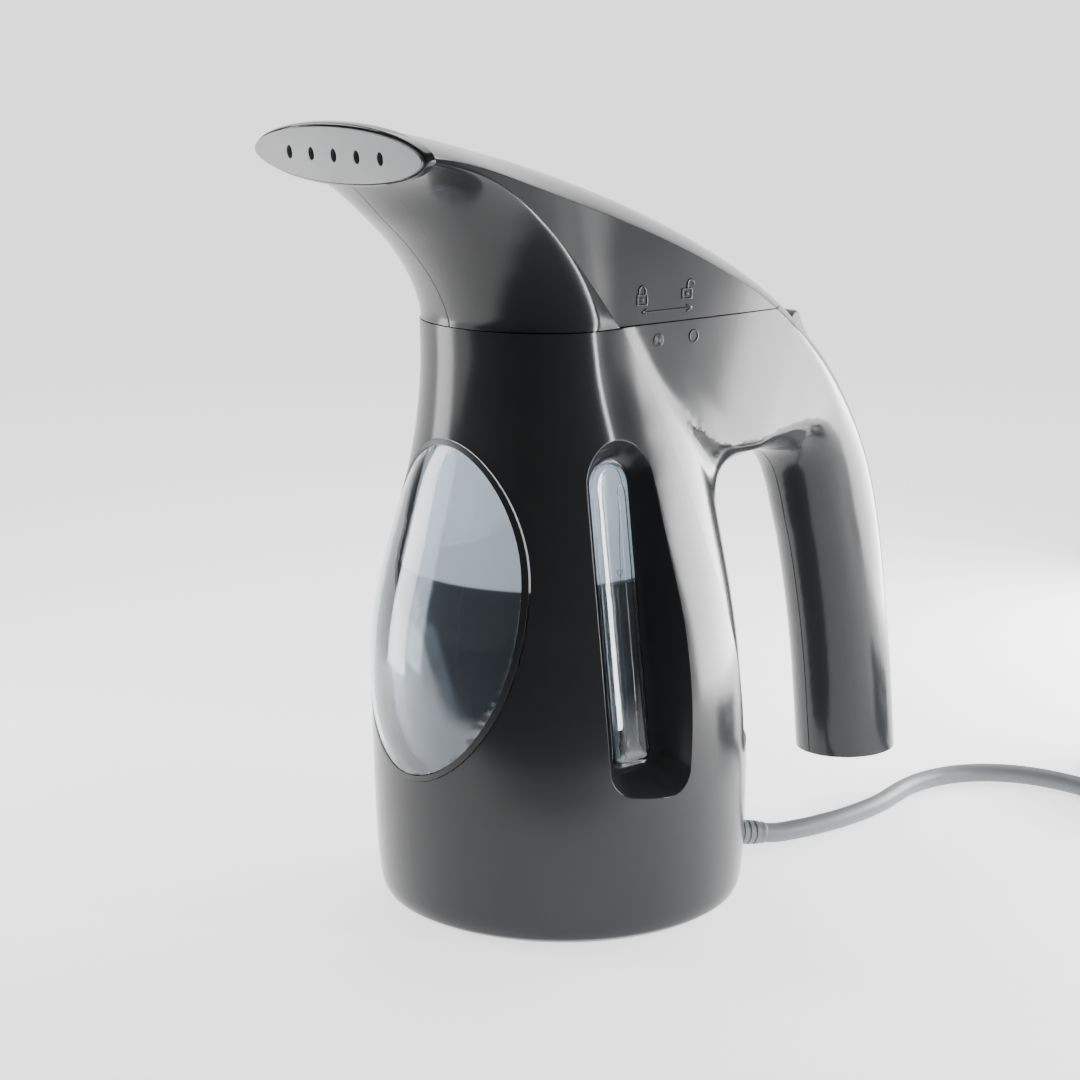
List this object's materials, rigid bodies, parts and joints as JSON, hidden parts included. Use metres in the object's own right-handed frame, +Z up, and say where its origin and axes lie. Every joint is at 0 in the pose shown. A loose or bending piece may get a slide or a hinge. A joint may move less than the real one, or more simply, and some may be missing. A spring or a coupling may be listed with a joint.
{
  "type": "handheld garment steamer",
  "caption": "Upright handheld garment steamer: round water vessel with front window, forward-leaning twist-off steam head, rear handle with rocker switch, and a coiled mains lead with plug.",
  "frame": {"origin": "centre of the vessel's footprint, on the flat underside that it stands on", "axes": "+Z up, steam leaves towards -Y, handle towards +Y, +X to the right when the steam plate faces the viewer"},
  "size_m": [0.1953, 0.4057, 0.2597],
  "materials": {
    "housing": "high gloss moulded ABS, graphite grey",
    "dark_plastic": "fine satin moulding",
    "silver_plastic": "satin light grey moulding",
    "clear_plastic": "clear polished polycarbonate",
    "rubber": "matt silicone",
    "cord_pvc": "satin PVC",
    "aluminium": "as cast",
    "element_steel": "plain",
    "screw_steel": "zinc plated",
    "heat_plastic": "off-white heat-resistant moulding",
    "wire": "insulated wire"
  },
  "bodies": {
    "body": {"front_housing": "housing", "rear_housing_right": "housing", "rear_housing_left": "housing", "body_screw_1": "screw_steel", "body_screw_2": "screw_steel", "body_screw_3": "screw_steel", "base_screw_1": "screw_steel", "base_screw_2": "screw_steel", "base_screw_3": "screw_steel", "base_screw_4": "screw_steel", "rocker_pin": "screw_steel", "base_cover": "dark_plastic", "neck_collar": "dark_plastic", "switch_body": "dark_plastic", "foot_pad_1": "rubber", "foot_pad_2": "rubber", "foot_pad_3": "rubber", "foot_pad_4": "rubber", "window_gasket": "rubber", "heater_seal": "rubber", "tank_seal": "rubber", "neck_gasket": "rubber", "cord_tie": "rubber", "window_lens": "clear_plastic", "sight_glass_right": "clear_plastic", "sight_glass_left": "clear_plastic", "water_tank": "clear_plastic", "heater_plate": "aluminium", "thermostat": "aluminium", "heating_element": "element_steel", "plug_blade_right": "element_steel", "plug_blade_left": "element_steel", "thermal_fuse": "heat_plastic", "terminal_block": "heat_plastic", "splash_baffle": "heat_plastic", "switch_wire": "wire", "strain_relief": "cord_pvc", "cord_lead": "cord_pvc", "cord_coil": "cord_pvc", "cord_tail": "cord_pvc", "plug_body": "cord_pvc"},
    "head": {"head_shell_right": "housing", "head_shell_left": "housing", "head_screw_1": "screw_steel", "head_screw_2": "screw_steel", "head_base": "dark_plastic", "nozzle_bezel": "dark_plastic", "steam_plate": "silver_plastic", "steam_duct": "heat_plastic"},
    "rocker": {"rocker_switch": "silver_plastic"}
  },
  "joints": [
    {"name": "head_twist", "type": "hinge", "parent": "body", "child": "head", "pos_m": [0, -0.012, 0.1945], "axis": [0, 0, 1], "range_deg": [0, 22]},
    {"name": "rocker_tilt", "type": "hinge", "parent": "body", "child": "rocker", "pos_m": [0, 0.10639, 0.17487], "axis": [1, 0, 0], "range_deg": [0, 12]}
  ]
}
